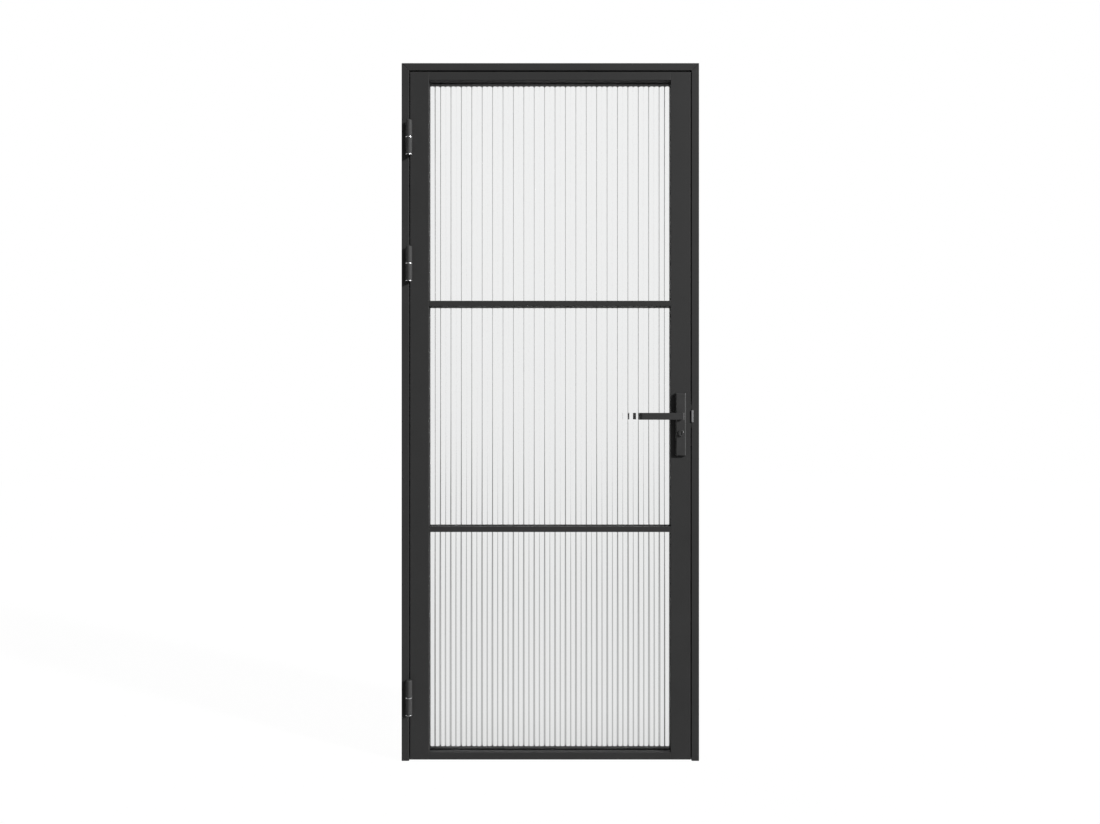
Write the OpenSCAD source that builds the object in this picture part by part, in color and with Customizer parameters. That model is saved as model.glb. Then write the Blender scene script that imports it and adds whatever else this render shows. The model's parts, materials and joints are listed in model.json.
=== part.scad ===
// Single-leaf glazed door set: slim black frame, hinged leaf with three fluted panes, lever lock.
// Seen from the front: X runs right, Y runs back through the door, Z runs up from the floor.
// The origin is on the floor, midway across the frame, in the middle plane of the leaf.

/* [Door set] */
// Overall width of the frame
set_w = 880; // [700:1:1200]
// Overall height of the frame
set_h = 2065; // [1900:1:2400]
// Thickness of the leaf
leaf_t = 50; // [46:1:64]
// Gap between leaf and jamb on each side
side_gap = 3; // [2.5:0.5:6]
// Gap between leaf and head
top_gap = 4; // [3:0.5:8]
// Gap between leaf and floor
floor_gap = 4; // [3:0.5:12]
// Wall of the hollow profiles
wall = 2; // [1.5:0.1:3]
// Thicker wall that takes hinges, lock and strike
edge_wall = 4; // [4:0.1:6]

/* [Frame] */
// Visible face of jambs and head
frame_face = 22; // [18:0.5:60]
// Reach of the stop from the frame's outer side
frame_reach = 37; // [34:0.5:80]
// Depth of the stop
stop_d = 16; // [12:0.5:40]
// Room for the seal between leaf and stop
seal_space = 4; // [3:0.5:8]
// Width of the seal's hollow bulb
seal_w = 8; // [6:0.5:10]
// Width of the seal's neck in its slot
seal_neck = 3; // [2:0.1:5]
// Thickness of the seal's bulb wall and of its inner head
seal_wall = 1.2; // [0.8:0.1:1.4]
// Diameter of the wall fixing holes
fix_d = 8; // [5:0.5:10]
// Distance of the outer fixing holes from the frame's ends
fix_end = 150; // [80:1:300]
// Number of fixing holes in each jamb
fix_n = 4; // [2:1:6]
// Distance of the fixing holes behind the front of the frame
fix_depth = 39; // [38:0.5:44]
// Length of the corner keys' arms
key_arm = 75; // [45:1:140]
// Depth of the corner keys
key_d = 32; // [20:1:45]

/* [Leaf] */
// Face of the stile on the hinge side
hinge_stile_w = 56; // [40:0.5:100]
// Face of the stile on the lock side
lock_stile_w = 59; // [56:0.5:120]
// Face of the top rail
top_rail_h = 25; // [22:0.5:120]
// Face of the bottom rail
bottom_rail_h = 21; // [20:0.5:200]
// Face of the glazing bars
bar_h = 16; // [14:0.5:40]
// Web of the glazing bars between two panes
bar_web = 4; // [3:0.1:6]
// Depth of the glazing rebate in stiles and rails
rebate = 10; // [8:0.5:16]
// Depth of the fixed glazing leg in front of the glass
leg_d = 18; // [12:0.5:24]
// Thickness of the stiles' end caps
cap_t = 3; // [1.5:0.1:6]
// Length of the cleats that hold the rails to the stiles
cleat_l = 50; // [30:1:100]
// Thickness of the fin under the leaf
fin_t = 3.6; // [2:0.1:8]
// Gap between fin and floor
fin_clear = 1; // [0.5:0.1:3]

/* [Glass] */
// Thickness of the glass under the deepest valleys
glass_base = 3.5; // [3:0.5:8]
// Depth of the valleys between two pairs of flutes
flute_depth = 5.5; // [1:0.1:5.5]
// Wanted width of one flute, adjusted so that pairs of flutes divide the opening evenly
flute_w = 15.6; // [13:0.1:30]
// How far each flute of a pair sits towards the other, which leaves a shallower valley between them
pair_shift = 0.5; // [0:0.1:1]
// Cover of the glass edge in stiles and rails
glass_bite = 7; // [5:0.5:7.5]
// Cover of the glass edge in the glazing bars
bar_bite = 5; // [3:0.5:5.5]
// Thickness of the gasket in front of the flutes
front_gasket_t = 4; // [2:0.5:5]
// Thickness of the gasket behind the glass
back_gasket_t = 3; // [2:0.5:5]
// Set-back of the gaskets from the sight line
gasket_inset = 1; // [0.5:0.1:2]
// Set-back of the gaskets from the glass edge
gasket_edge = 0.5; // [0.2:0.1:1]
// Wall of the hollow glazing beads
bead_wall = 1.2; // [0.8:0.1:2]
// Length of the setting blocks
block_l = 60; // [30:1:120]

/* [Hinges] */
// Height of a hinge barrel with its foot
hinge_h = 104; // [80:1:160]
// Diameter of the hinge barrel
knuckle_d = 18.5; // [14:0.5:19.5]
// Diameter of the hinge pin
pin_d = 10; // [6:0.5:12]
// Thickness of the bearing washer
washer_t = 2.8; // [1.5:0.1:4]
// Gap between the washer and the leaf's knuckle
washer_gap = 0.2; // [0.1:0.1:0.5]
// Thickness of the pin's foot
foot_t = 2; // [1:0.1:4]
// Distance of the hinge axis in front of the leaf
hinge_stand = 10; // [9.6:0.1:14]
// Thickness of the hinge wings
wing_t = 2; // [1.5:0.1:3]
// Depth of the hinge wings behind the leaf's front
wing_d = 30; // [20:0.5:32]
// Rounding of the barrel's top
knuckle_round = 5; // [1:0.1:6]
// Solid end above the pin
knuckle_end = 7; // [5:0.5:10]
// Middle of the lowest hinge above the floor
hinge_low = 191; // [120:1:400]
// Middle of the middle hinge below the frame's top
hinge_mid_drop = 595; // [450:1:1200]
// Middle of the top hinge below the frame's top
hinge_top_drop = 223; // [120:1:320]
// Distance of the wing screws behind the leaf's front
wing_screw_d = 18; // [12:0.5:24]
// Distance between a wing's two screws
wing_pitch = 24; // [16:1:30]

/* [Screws] */
// Shank diameter of the countersunk screws
screw_d = 4.6; // [3:0.1:5]
// Head diameter of the countersunk screws
screw_head_d = 8; // [6:0.1:9]
// Head height of the countersunk screws
screw_head_h = 1.7; // [1:0.1:1.9]
// Length of the countersunk screws
screw_l = 11; // [8:0.5:14]

/* [Lock] */
// Distance of the lever axis from the leaf's edge
backset = 30; // [28:0.5:60]
// Height of the lever axis above the floor
lever_z = 1020; // [900:1:1150]
// Distance of the bolt's turn below the lever axis
turn_drop = 50; // [44:0.5:92]
// Width of the lock's forend
forend_w = 22; // [20:0.5:26]
// Thickness of the lock's forend
forend_t = 3; // [2:0.1:3.5]
// Length of the forend past the lock case at each end
forend_past = 16; // [12:0.5:30]
// Thickness of the latch guard that closes the gap
guard_t = 2.2; // [1:0.1:2.3]
// Height of the latch guard
guard_h = 69; // [50:1:90]
// Depth of the latch guard
guard_d = 22; // [15:0.5:24]
// Opening in the latch guard
guard_gap = 36; // [33:0.5:45]
// Thickness of the lock case
case_t = 18; // [16:0.5:22]
// Wall of the lock case
case_wall = 1.5; // [1:0.1:2]
// Room in the case above the latch and below the bolt
case_room = 18; // [10:0.5:40]
// Diameter of the follower
follower_d = 20; // [16:0.5:21]
// Diameter of the follower's bearing
hub_d = 16; // [13:0.5:18]
// Height of the latch
latch_h = 30; // [20:0.5:32]
// Thickness of the latch
latch_t = 14; // [10:0.5:14]
// Distance that the latch stands out of the leaf
latch_out = 11; // [8:0.5:14]
// Travel of the latch
latch_travel = 10; // [6:0.5:10.5]
// Flat tip of the latch beside its bevel
latch_tip = 3; // [1:0.5:6]
// Height of the latch's tail arms
tail_h = 3.5; // [2:0.1:5]
// Thickness of the latch's tail arms
tail_t = 6; // [3:0.5:10]
// Height of the dead bolt
bolt_h = 20; // [14:0.5:24]
// Thickness of the dead bolt
bolt_t = 12; // [8:0.5:14]
// Throw of the dead bolt
bolt_throw = 14; // [10:0.5:14.5]
// Diameter of the cam that drives the dead bolt
cam_d = 16; // [13:0.5:17]
// Diameter of the turn's stem and of the cam's bearing
stem_d = 12; // [9:0.5:12.5]

/* [Handles] */
// Width of the handle plates
plate_w = 30; // [26:0.5:50]
// Height of the handle plates
plate_h = 185; // [160:1:280]
// Thickness of the handle plates
plate_t = 9; // [6:0.5:14]
// Top of the handle plates above the lever axis
plate_up = 68; // [50:1:110]
// Bevel around the handle plates
plate_bevel = 2.5; // [0.5:0.1:4]
// Wall of the hollow handle plates
plate_wall = 2; // [1.5:0.1:4]
// Distance of the plate bolts from the plates' ends
bolt_inset = 15; // [12:0.5:30]
// Diameter of the plate bolts
plate_bolt_d = 5; // [3:0.1:6]
// Height of the lever's flat bar
lever_h = 20; // [14:0.5:28]
// Thickness of the lever's flat bar
lever_t = 9; // [6:0.5:12]
// Distance from the lever axis to the lever's tip
lever_reach = 128; // [100:1:160]
// Distance that the lever stands in front of its plate
lever_stand = 37; // [30:0.5:60]
// Length of the lever's returned end
lever_return = 25; // [14:0.5:34]
// Outer radius of the bend at the lever's tip
bend_r = 11; // [10:0.5:18]
// Outer radius of the bend at the lever's neck
neck_r = 4; // [2:0.5:10]
// Diameter of the lever's collar
collar_d = 20; // [14:0.5:22]
// Height of the collar in front of the plate
collar_out = 2; // [1:0.1:5]
// Width of the lever's square spindle
spindle_w = 8; // [6:0.5:9]
// Diameter of the discs of thumb turn and release
turn_d = 17; // [16:0.5:24]
// Thickness of the discs of thumb turn and release
turn_t = 5; // [2:0.1:6]
// Height of the thumb turn's grip
grip_out = 6; // [3:0.1:10]
// Width of the thumb turn's grip
grip_w = 6; // [3:0.1:10]
// Width of the turn's square spindle
turn_spindle_w = 5; // [4:0.1:7]
// Width of the release's coin slot
coin_w = 1.8; // [1:0.1:3]
// Depth of the release's coin slot
coin_d = 1.5; // [0.5:0.1:2.5]

/* [Strike] */
// Thickness of the strike plate
strike_t = 2; // [1:0.1:2.5]
// Length of the strike plate past latch and bolt
strike_past = 28; // [20:0.5:40]
// Depth of the strike plate behind the frame's front
strike_d = 37; // [35:0.5:45]
// Set-back of the strike plate from the frame's front, away from its lip
strike_set = 4; // [2:0.5:8]
// Height of the strike's front lip
lip_h = 35; // [20:0.5:60]
// Width of the strike's front lip
lip_w = 5; // [3:0.1:10]
// Thickness of the strike's front lip
lip_t = 3; // [0.8:0.1:4]
// Distance that the lip stands into the gap
lip_in = 0.5; // [0.1:0.1:0.6]
// Wall of the box behind the strike
box_wall = 1.5; // [1:0.1:2]
// Room around latch and bolt in the box
box_room = 4; // [2:0.5:8]

/* [Clearances] */
// Radial clearance of turning pieces
run_clear = 0.05; // [0.02:0.01:0.1]
// Clearance of pieces that are let in or pushed in
fit_clear = 0.1; // [0.05:0.05:0.3]
// Clearance between a moving piece and its surroundings
move_clear = 0.3; // [0.2:0.05:0.5]
// Clearance of bolts and spindles through walls
pass_clear = 1; // [0.5:0.1:2]

/* [Hidden] */
$fn = 96;
flute_facets = 40;

// Margin by which a cut passes a surface
cut = 1;

black = [0.22, 0.22, 0.22];
satin_black = [0.24, 0.24, 0.24];
rubber_black = [0.12, 0.12, 0.12];
bright_steel = [0.75, 0.75, 0.75];
zinc_grey = [0.5, 0.5, 0.5];
glass_tint = [0.9, 0.92, 0.92, 0.4];

// Planes of the frame
half_w = set_w / 2;
front_y = -leaf_t / 2;
back_y = leaf_t / 2;
stop_y = back_y + seal_space;
frame_back_y = stop_y + stop_d;
jamb_in = half_w - frame_face;
stop_in = half_w - frame_reach;
seal_inset = (frame_face + side_gap + frame_reach) / 2;
seal_slot = seal_neck + 2 * fit_clear;
seal_head_w = seal_neck + 4 * seal_wall;
fix_y = front_y + fix_depth;
fix_pitch = (set_h - 2 * fix_end) / (fix_n - 1);

// Planes of the leaf
leaf_x1 = jamb_in - side_gap;
leaf_x0 = -leaf_x1;
leaf_z0 = floor_gap;
leaf_z1 = set_h - frame_face - top_gap;
leg_y = front_y + leg_d;
open_x0 = leaf_x0 + hinge_stile_w;
open_x1 = leaf_x1 - lock_stile_w;
open_w = open_x1 - open_x0;
rebate_x0 = open_x0 - rebate;
rebate_x1 = open_x1 + rebate;
open_z0 = leaf_z0 + bottom_rail_h;
open_z1 = leaf_z1 - top_rail_h;
pane_n = 3;
pane_h = (open_z1 - open_z0 - (pane_n - 1) * bar_h) / pane_n;

fin_head_t = seal_wall;

// Planes of the glass
crest_y = leg_y + front_gasket_t;
valley_y = crest_y + flute_depth;
glass_back_y = valley_y + glass_base;
// Plane inside the glass where the flutes run into its flat back
root_y = (valley_y + glass_back_y) / 2;
bead_y = glass_back_y + back_gasket_t;
pane_x = [open_x0 - glass_bite, open_x1 + glass_bite];
flute_n = 2 * round(open_w / flute_w / 2);
flute_p = open_w / flute_n;
flute_half = flute_p / 2 + pair_shift;
flute_r = (pow(flute_half, 2) + pow(flute_depth, 2)) / (2 * flute_depth);
bar_rebate = (bar_h - bar_web) / 2;

// Hinge axis and heights
axis_x = leaf_x0 - side_gap / 2;
axis_y = front_y - hinge_stand;
knuckle_r = knuckle_d / 2;
pin_r = pin_d / 2;
wing_y = front_y + wing_d;
wing_screw_y = front_y + wing_screw_d;
hinge_z = [hinge_low, set_h - hinge_mid_drop, set_h - hinge_top_drop];

// Lock and handle axes
axle_x = leaf_x1 - backset;
turn_z = lever_z - turn_drop;
forend_x = leaf_x1 - forend_t;
case_x0 = axle_x - follower_d / 2 - case_wall - move_clear;
case_z = [turn_z - bolt_h / 2 - case_room, lever_z + latch_h / 2 + case_room];
case_in = case_t / 2 - case_wall;
forend_z = [case_z[0] - forend_past, case_z[1] + forend_past];
latch_x0 = axle_x + follower_d / 2 + latch_travel + 2 * move_clear;
latch_x1 = leaf_x1 + latch_out;
hole_room = 3 * move_clear;
bolt_x = [axle_x + cam_d / 2 + hole_room, leaf_x1 - move_clear];
plate_x = [axle_x - plate_w / 2, axle_x + plate_w / 2];
plate_z = [lever_z + plate_up - plate_h, lever_z + plate_up];
plate_y = back_y + plate_t;
plate_in = plate_y - plate_wall;
bolt_pass = plate_bolt_d / 2 + pass_clear;
bolt_z = [min(plate_z[0] + bolt_inset, case_z[0] - bolt_pass),
  max(plate_z[1] - bolt_inset, case_z[1] + bolt_pass)];
bolt_head_h = plate_bolt_d / 2;
grip_y = plate_y + lever_stand;
neck_y = plate_y + collar_out / 2;
tip_x = axle_x - lever_reach;
neck_x = axle_x + lever_t / 2;
bend_in = bend_r - lever_t;
spindle_end = plate_y - wall;
turn_back = plate_in - wall;

// Strike
strike_z = [turn_z - bolt_h / 2 - strike_past, lever_z + latch_h / 2 + strike_past];
strike_y = front_y + strike_d;
box_d = max(bolt_throw, latch_out) - side_gap - edge_wall + box_room + box_wall;
strike_screw_z = [strike_z[0] + screw_head_d, strike_z[1] - screw_head_d];

// Block between two values on each axis, in either order
module block(x, y, z) {
  translate([min(x), min(y), min(z)])
    cube([abs(x[1] - x[0]), abs(y[1] - y[0]), abs(z[1] - z[0])]);
}

// Round rod along X, from x[0] to x[1], that may taper
module rod_x(r0, r1, x, y, z) {
  translate([x[0], y, z])
    rotate([0, x[1] > x[0] ? 90 : -90, 0])
      cylinder(r1 = r0, r2 = r1, h = abs(x[1] - x[0]));
}

// Round rod along Y, from y[0] to y[1], that may taper
module rod_y(r0, r1, y, x, z) {
  translate([x, y[0], z])
    rotate([y[1] > y[0] ? -90 : 90, 0, 0])
      cylinder(r1 = r0, r2 = r1, h = abs(y[1] - y[0]));
}

// Prism along Y with a triangle in the XZ plane
module wedge_y(points, y) {
  translate([0, max(y), 0])
    rotate([90, 0, 0])
      linear_extrude(height = abs(y[1] - y[0])) polygon(points);
}

// Countersunk screw along X, head at x, driven in the direction d, larger by c
module screw_x(x, d, y, z, c) {
  neck = x + d * screw_head_h;
  rod_x(screw_head_d / 2 + c, screw_d / 2 + c, [x, neck], y, z);
  rod_x(screw_d / 2 + c, screw_d / 2 + c, [neck - d * c, x + d * (screw_l + c)], y, z);
}

// Hollow rebated jamb on the side s, without its mortises
module jamb_profile(s) {
  span = [-cut, set_h + cut];
  mitre_z = set_h - frame_reach;
  difference() {
    union() {
      block(s * [jamb_in, half_w], [front_y, frame_back_y], [0, set_h]);
      block(s * [stop_in, half_w], [stop_y, frame_back_y], [0, set_h]);
    }
    block(s * [jamb_in + edge_wall, half_w - wall], [front_y + wall, frame_back_y - wall], span);
    block(s * [stop_in + wall, half_w - wall], [stop_y + wall, frame_back_y - wall], span);
    block(s * around(half_w - seal_inset, seal_slot / 2),
      [stop_y - cut, stop_y + wall + cut], span);
    wedge_y([[s * (half_w + cut), set_h + cut], [s * (stop_in - cut), mitre_z - cut],
      [s * (stop_in - cut), set_h + cut]], [front_y - cut, frame_back_y + cut]);
    for (i = [0 : fix_n - 1])
      rod_x(fix_d / 2, fix_d / 2, s * [jamb_in - cut, half_w + cut], fix_y, fix_end + i * fix_pitch);
  }
}

// Seal with hollow bulb, neck and inner head, in the plane across its run
module seal_profile() {
  difference() {
    translate([-seal_w / 2, back_y + move_clear])
      square([seal_w, seal_space - move_clear]);
    translate([-seal_w / 2 + seal_wall, back_y + move_clear + seal_wall])
      square([seal_w - 2 * seal_wall, seal_space - move_clear - 2 * seal_wall]);
  }
  translate([-seal_neck / 2, stop_y - seal_wall / 2])
    square([seal_neck, wall + seal_wall]);
  translate([-seal_head_w / 2, stop_y + wall])
    square([seal_head_w, seal_wall]);
}

module jamb_seal(s) {
  translate([s * (half_w - seal_inset), 0, 0])
    linear_extrude(height = set_h - seal_inset - seal_head_w / 2 - move_clear) seal_profile();
}

// Mortise or wing of one hinge half: x from the gap into the wall, z over the knuckle
module hinge_wing(x, front, z, c) {
  block(x, [front, wing_y + c], [z[0] - c, z[1] + c]);
}

// Heights of the wing on the frame and on the leaf, for a hinge with its middle at z
function frame_wing_z(z) = [z - hinge_h / 2 + foot_t, z - washer_t / 2];
function leaf_wing_z(z) = [z + washer_t / 2 + washer_gap, z + hinge_h / 2 - knuckle_round];
function middle(span) = (span[0] + span[1]) / 2;
function around(centre, half) = [centre - half, centre + half];

// Both screws of one wing
module wing_screws(x, d, z, c) {
  for (i = [-1, 1])
    screw_x(x, d, wing_screw_y, middle(z) + i * wing_pitch / 2, c);
}

module hinge_jamb() {
  color(black)
    difference() {
      jamb_profile(-1);
      for (z = hinge_z) {
        hinge_wing(-[jamb_in - cut, jamb_in + wing_t], front_y - cut, frame_wing_z(z), fit_clear);
        wing_screws(-jamb_in, -1, frame_wing_z(z), fit_clear);
      }
    }
}

// Openings for latch and bolt between two X values
module strike_holes(x) {
  block(x, around(0, latch_t / 2 + hole_room),
    around(lever_z, latch_h / 2 + hole_room));
  block(x, around(0, bolt_t / 2 + hole_room),
    around(turn_z, bolt_h / 2 + hole_room));
}

// Body of the strike plate with the neck of its lip between two X values, larger by c
module strike_form(x, c) {
  block(x, [front_y + strike_set - c, strike_y + c], grow(strike_z, c, c));
  block(x, [front_y - c, front_y + strike_set], around(lever_z, lip_h / 2 + c));
}

module strike_jamb() {
  color(black)
    difference() {
      jamb_profile(1);
      strike_form([jamb_in - cut, jamb_in + strike_t], fit_clear);
      strike_holes([jamb_in, jamb_in + edge_wall + cut]);
      for (z = strike_screw_z)
        screw_x(jamb_in, 1, 0, z, fit_clear);
    }
}

module frame_head() {
  span = [-half_w - cut, half_w + cut];
  low = set_h - frame_reach;
  color(black)
    difference() {
      union() {
        block([-half_w, half_w], [front_y, frame_back_y], [set_h - frame_face, set_h]);
        block([-half_w, half_w], [stop_y, frame_back_y], [low, set_h]);
      }
      block(span, [front_y + wall, frame_back_y - wall], [set_h - frame_face + edge_wall, set_h - wall]);
      block(span, [stop_y + wall, frame_back_y - wall], [low + wall, set_h - wall]);
      block(span, [stop_y - cut, stop_y + wall + cut],
        around(set_h - seal_inset, seal_slot / 2));
      for (s = [-1, 1])
        wedge_y([[s * (half_w + cut), set_h + cut], [s * (stop_in - cut), low - cut],
          [s * (half_w + cut), low - cut]], [front_y - cut, frame_back_y + cut]);
    }
}

// Angle keys inside the two mitred corners
module corner_keys() {
  outer_x = half_w - wall - fit_clear;
  outer_z = set_h - wall - fit_clear;
  arm_w = frame_face - edge_wall - wall - 2 * fit_clear;
  key_y = front_y + wall + fit_clear;
  color(zinc_grey)
    for (s = [-1, 1]) {
      block(s * [outer_x - arm_w, outer_x], [key_y, key_y + key_d], [outer_z - key_arm, outer_z]);
      block(s * [outer_x - key_arm, outer_x], [key_y, key_y + key_d], [outer_z - arm_w, outer_z]);
    }
}

module hinge_jamb_seal() {
  color(rubber_black) jamb_seal(-1);
}

module strike_jamb_seal() {
  color(rubber_black) jamb_seal(1);
}

module head_seal() {
  reach = half_w - seal_inset - seal_w / 2 - move_clear;
  color(rubber_black)
    translate([reach, 0, set_h - seal_inset])
      rotate([0, -90, 0])
        linear_extrude(height = 2 * reach) seal_profile();
}

// Plate let into the jamb, with a lip on the jamb's front for the closing latch
module strike_plate() {
  color(bright_steel)
    difference() {
      union() {
        strike_form([jamb_in, jamb_in + strike_t], 0);
        block([jamb_in - lip_in, jamb_in - lip_in + lip_w], [front_y - lip_t, front_y],
          around(lever_z, lip_h / 2));
      }
      strike_holes([jamb_in - cut, jamb_in + strike_t + cut]);
      for (z = strike_screw_z)
        screw_x(jamb_in, 1, 0, z, fit_clear);
    }
}

// Box inside the jamb that latch and bolt enter
module strike_box() {
  box_x = jamb_in + edge_wall;
  room = hole_room + box_room;
  z0 = turn_z - bolt_h / 2 - room;
  z1 = lever_z + latch_h / 2 + room;
  y1 = latch_t / 2 + room;
  color(rubber_black)
    difference() {
      block([box_x, box_x + box_d], [-y1, y1], [z0, z1]);
      block([box_x - cut, box_x + box_d - box_wall], [box_wall - y1, y1 - box_wall],
        [z0 + box_wall, z1 - box_wall]);
    }
}

module strike_screws() {
  color(zinc_grey)
    for (z = strike_screw_z)
      screw_x(jamb_in + fit_clear, 1, 0, z, 0);
}

// Lower knuckle with its wing in the jamb
module frame_half(z) {
  span = frame_wing_z(z);
  color(satin_black)
    difference() {
      union() {
        translate([axis_x, axis_y, span[0]]) cylinder(r = knuckle_r, h = span[1] - span[0]);
        hinge_wing(-[jamb_in, jamb_in + wing_t], axis_y, span, 0);
      }
      translate([axis_x, axis_y, span[0] - cut])
        cylinder(r = pin_r + run_clear, h = span[1] - span[0] + 2 * cut);
      wing_screws(-jamb_in, -1, span, fit_clear);
    }
}

// Upper knuckle with a rounded top and its wing in the stile
module leaf_half(z) {
  span = leaf_wing_z(z);
  height = z + hinge_h / 2 - span[0];
  color(satin_black)
    difference() {
      union() {
        translate([axis_x, axis_y, span[0]])
          rotate_extrude() {
            square([knuckle_r, height - knuckle_round]);
            square([knuckle_r - knuckle_round, height]);
            translate([knuckle_r - knuckle_round, height - knuckle_round])
              intersection() {
                circle(r = knuckle_round);
                square(knuckle_round);
              }
          }
        hinge_wing([leaf_x0, leaf_x0 + wing_t], axis_y, span, 0);
      }
      translate([axis_x, axis_y, span[0] - cut])
        cylinder(r = pin_r + run_clear, h = height - knuckle_end + cut);
      wing_screws(leaf_x0, 1, span, fit_clear);
    }
}

// Pin with a polished foot under the barrel
module pin(z) {
  foot_z = z - hinge_h / 2;
  top_z = z + hinge_h / 2 - knuckle_end - move_clear;
  color(bright_steel)
    translate([axis_x, axis_y, foot_z]) {
      cylinder(r = knuckle_r, h = foot_t);
      cylinder(r = pin_r, h = top_z - foot_z);
    }
}

// Bearing washer between the two knuckles
module washer(z) {
  color(bright_steel)
    translate([axis_x, axis_y, z - washer_t / 2])
      difference() {
        cylinder(r = knuckle_r, h = washer_t);
        translate([0, 0, -cut]) cylinder(r = pin_r + run_clear, h = washer_t + 2 * cut);
      }
}

module hinge_frame_screws() {
  color(zinc_grey)
    for (z = hinge_z)
      wing_screws(-jamb_in - fit_clear, -1, frame_wing_z(z), 0);
}

module hinge_leaf_screws() {
  color(zinc_grey)
    for (z = hinge_z)
      wing_screws(leaf_x0 + fit_clear, 1, leaf_wing_z(z), 0);
}

// Hollow stile from the leaf's edge to the sight line, with a glazing leg in front
module stile_profile(edge, sight) {
  d = sight > edge ? 1 : -1;
  body = sight - d * rebate;
  span = [leaf_z0 - cut, leaf_z1 + cut];
  difference() {
    union() {
      block([edge, body], [front_y, back_y], [leaf_z0, leaf_z1]);
      block([edge, sight], [front_y, leg_y], [leaf_z0, leaf_z1]);
    }
    block([edge + d * edge_wall, body - d * wall], [front_y + wall, back_y - wall], span);
    block([edge + d * edge_wall, sight - d * wall], [front_y + wall, leg_y - wall], span);
  }
}

module hinge_stile() {
  color(black)
    difference() {
      stile_profile(leaf_x0, open_x0);
      for (z = hinge_z) {
        hinge_wing([leaf_x0 - cut, leaf_x0 + wing_t], front_y - cut, leaf_wing_z(z), fit_clear);
        wing_screws(leaf_x0, 1, leaf_wing_z(z), fit_clear);
      }
    }
}

module lock_stile() {
  through = [front_y - cut, back_y + cut];
  lever_hole = collar_d / 2 + pass_clear;
  turn_hole = stem_d / 2 + pass_clear;
  color(black)
    difference() {
      stile_profile(leaf_x1, open_x1);
      block([forend_x, leaf_x1 + cut], [-forend_w / 2 - fit_clear, forend_w / 2 + fit_clear],
        [forend_z[0] - fit_clear, forend_z[1] + fit_clear]);
      block([leaf_x1 - edge_wall - cut, leaf_x1], [-case_t / 2 - fit_clear, case_t / 2 + fit_clear],
        [case_z[0] - fit_clear, case_z[1] + fit_clear]);
      rod_y(lever_hole, lever_hole, through, axle_x, lever_z);
      rod_y(turn_hole, turn_hole, through, axle_x, turn_z);
      for (z = bolt_z)
        rod_y(bolt_pass, bolt_pass, through, axle_x, z);
      forend_screw_set(leaf_x1, fit_clear);
    }
}

// Hollow rail between the stiles: outer edge at z_edge, sight line at z_sight
module rail_profile(z_edge, z_sight) {
  d = z_sight > z_edge ? 1 : -1;
  body = z_sight - d * rebate;
  span = [rebate_x0 - cut, rebate_x1 + cut];
  difference() {
    union() {
      block([rebate_x0, rebate_x1], [leg_y, back_y], [z_edge, body]);
      block([open_x0, open_x1], [front_y, leg_y], [z_edge, z_sight]);
    }
    block(span, [front_y + wall, back_y - wall], [z_edge + d * wall, body - d * wall]);
    block(span, [front_y + wall, leg_y - wall], [z_edge + d * wall, z_sight - d * wall]);
  }
}

module top_rail() {
  color(black) rail_profile(leaf_z1, open_z1);
}

module bottom_rail() {
  slot = fin_t / 2 + fit_clear;
  color(black)
    difference() {
      rail_profile(leaf_z0, open_z0);
      block([rebate_x0 - cut, rebate_x1 + cut], [-slot, slot], [leaf_z0 - cut, leaf_z0 + wall + cut]);
    }
}

// Glazing bar above the pane i: hollow flange in front, web between the panes
module glazing_bar(i) {
  z0 = pane_z(i)[1];
  z1 = z0 + bar_h;
  web = [z0 + bar_rebate, z1 - bar_rebate];
  color(black)
    difference() {
      union() {
        block([open_x0, open_x1], [front_y, leg_y], [z0, z1]);
        block([rebate_x0, rebate_x1], [leg_y, back_y], web);
      }
      block([open_x0 - cut, open_x1 + cut], [front_y + wall, leg_y - wall], [z0 + wall, z1 - wall]);
    }
}

module upper_bar() {
  glazing_bar(1);
}

module lower_bar() {
  glazing_bar(0);
}

// Cleats inside the ends of both rails, against the stiles
module rail_cleats() {
  cleat_y = back_y - wall - fit_clear;
  low = [leaf_z0 + wall + fin_head_t + 2 * fit_clear, open_z0 - rebate - wall - fit_clear];
  high = [open_z1 + rebate + wall + fit_clear, leaf_z1 - wall - fit_clear];
  color(zinc_grey)
    for (z = [low, high]) {
      block([rebate_x0, rebate_x0 + cleat_l], [leg_y + fit_clear, cleat_y], z);
      block([rebate_x1 - cleat_l, rebate_x1], [leg_y + fit_clear, cleat_y], z);
    }
}

// Caps in the open ends of the stiles
module stile_caps() {
  cap_y = back_y - wall - fit_clear;
  in0 = leaf_x0 + edge_wall + fit_clear;
  in1 = leaf_x1 - edge_wall - fit_clear;
  color(rubber_black)
    for (z = [leaf_z0, leaf_z1 - cap_t]) {
      block([in0, rebate_x0 - wall - fit_clear], [-cap_y, cap_y], [z, z + cap_t]);
      block([in1, rebate_x1 + wall + fit_clear], [-cap_y, cap_y], [z, z + cap_t]);
    }
}

// Fin held by its head in the bottom rail, running on under both stiles
module bottom_seal() {
  head_y = fin_t;
  color(rubber_black) {
    block([rebate_x0 + fit_clear, rebate_x1 - fit_clear], [-head_y, head_y],
      [leaf_z0 + wall + fit_clear, leaf_z0 + wall + fit_clear + fin_head_t]);
    block([rebate_x0 + fit_clear, rebate_x1 - fit_clear], [-fin_t / 2, fin_t / 2],
      [fin_clear, leaf_z0 + wall + fin_head_t]);
    block([leaf_x0, leaf_x1], [-fin_t / 2, fin_t / 2], [fin_clear, leaf_z0 - fit_clear]);
  }
}

// Sight lines below and above the pane i, counted from the floor
function pane_z(i) = [open_z0 + i * (pane_h + bar_h), open_z0 + i * (pane_h + bar_h) + pane_h];
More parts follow.
